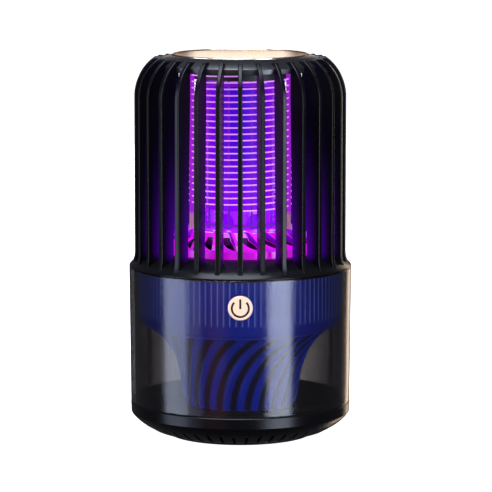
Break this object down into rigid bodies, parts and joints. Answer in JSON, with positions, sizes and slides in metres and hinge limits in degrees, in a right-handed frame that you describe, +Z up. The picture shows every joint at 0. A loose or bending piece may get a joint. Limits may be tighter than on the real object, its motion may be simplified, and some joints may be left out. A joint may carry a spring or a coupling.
{
  "type": "electric insect killer",
  "caption": "Cordless lamp insect killer: black finned cage over a violet lamp and wire grid, suction fan, blue funnel in a smoked tank, lift-off catch tray.",
  "frame": {"origin": "centre of the foot ring's underside", "axes": "+Z up through the lamp, -Y towards the power button, +X to the viewer's right"},
  "size_m": [0.12, 0.12, 0.206],
  "materials": {
    "cage_black": "gloss moulded",
    "rose_gold": "anodised rose gold, satin",
    "violet_plastic": "translucent, lit by the lamp",
    "grid_steel": "drawn wire",
    "tan_brass": "plated strip",
    "insulator_black": "moulded",
    "clear_plastic": "clear",
    "board_white": "solder mask",
    "lamp_violet": "lit lamp, emissive",
    "inner_black": "moulded",
    "screw_steel": "zinc plated",
    "motor_copper": "enamelled windings",
    "bearing_bronze": "sintered",
    "magnet_grey": "ferrite",
    "impeller_black": "moulded",
    "cell_sleeve": "shrink sleeve",
    "board_green": "solder mask",
    "chip_black": "moulded",
    "potting_black": "potted",
    "port_steel": "formed shell",
    "symbol_brown": "inlaid",
    "button_cream": "satin metallised",
    "funnel_blue": "gloss moulded",
    "smoked_clear": "smoked clear",
    "tray_black": "satin moulded",
    "foot_rubber": "matt"
  },
  "bodies": {
    "tray": {"base_tray": "tray_black", "foot_ring": "foot_rubber", "tray_gasket": "foot_rubber"},
    "main_unit": {"tank_shell": "smoked_clear", "fluted_skirt": "funnel_blue", "funnel": "funnel_blue", "deck": "inner_black", "deck_screws": "screw_steel", "swirl_inlet": "violet_plastic", "fan_frame": "inner_black", "fan_motor": "motor_copper", "motor_bearings": "bearing_bronze", "battery_cells": "cell_sleeve", "cell_holder": "inner_black", "control_board": "board_green", "board_parts": "chip_black", "tact_switch": "chip_black", "hv_module": "potting_black", "charge_board": "board_green", "usb_inlet": "port_steel", "usb_bezel": "inner_black", "interlock_switch": "chip_black", "zapper_coil": "grid_steel", "grid_posts": "tan_brass", "inner_electrode": "grid_steel", "grid_base": "insulator_black", "grid_top_cap": "insulator_black", "lamp_base": "clear_plastic", "light_tube": "clear_plastic", "led_board": "board_white", "uv_leds": "lamp_violet"},
    "cage": {"collar": "cage_black", "fins": "cage_black", "shoulder": "cage_black", "top_dish": "rose_gold"},
    "fan": {"fan_impeller": "impeller_black", "fan_shaft": "screw_steel", "rotor_magnet": "magnet_grey"},
    "button": {"power_button": "button_cream", "power_symbol": "symbol_brown"}
  },
  "joints": [
    {"name": "tray_release", "type": "slide", "parent": "tray", "child": "main_unit", "axis": [0, 0, 1], "range_m": [0, 0.045]},
    {"name": "cage_lift", "type": "slide", "parent": "main_unit", "child": "cage", "axis": [0, 0, 1], "range_m": [0, 0.115]},
    {"name": "fan_spin", "type": "hinge", "parent": "main_unit", "child": "fan", "pos_m": [0, 0, 0.07], "axis": [0, 0, 1], "continuous": true},
    {"name": "power_button_press", "type": "slide", "parent": "main_unit", "child": "button", "axis": [0, 1, 0], "range_m": [0, 0.001], "stiffness_N_per_m": 400, "springref_m": -0.002}
  ]
}
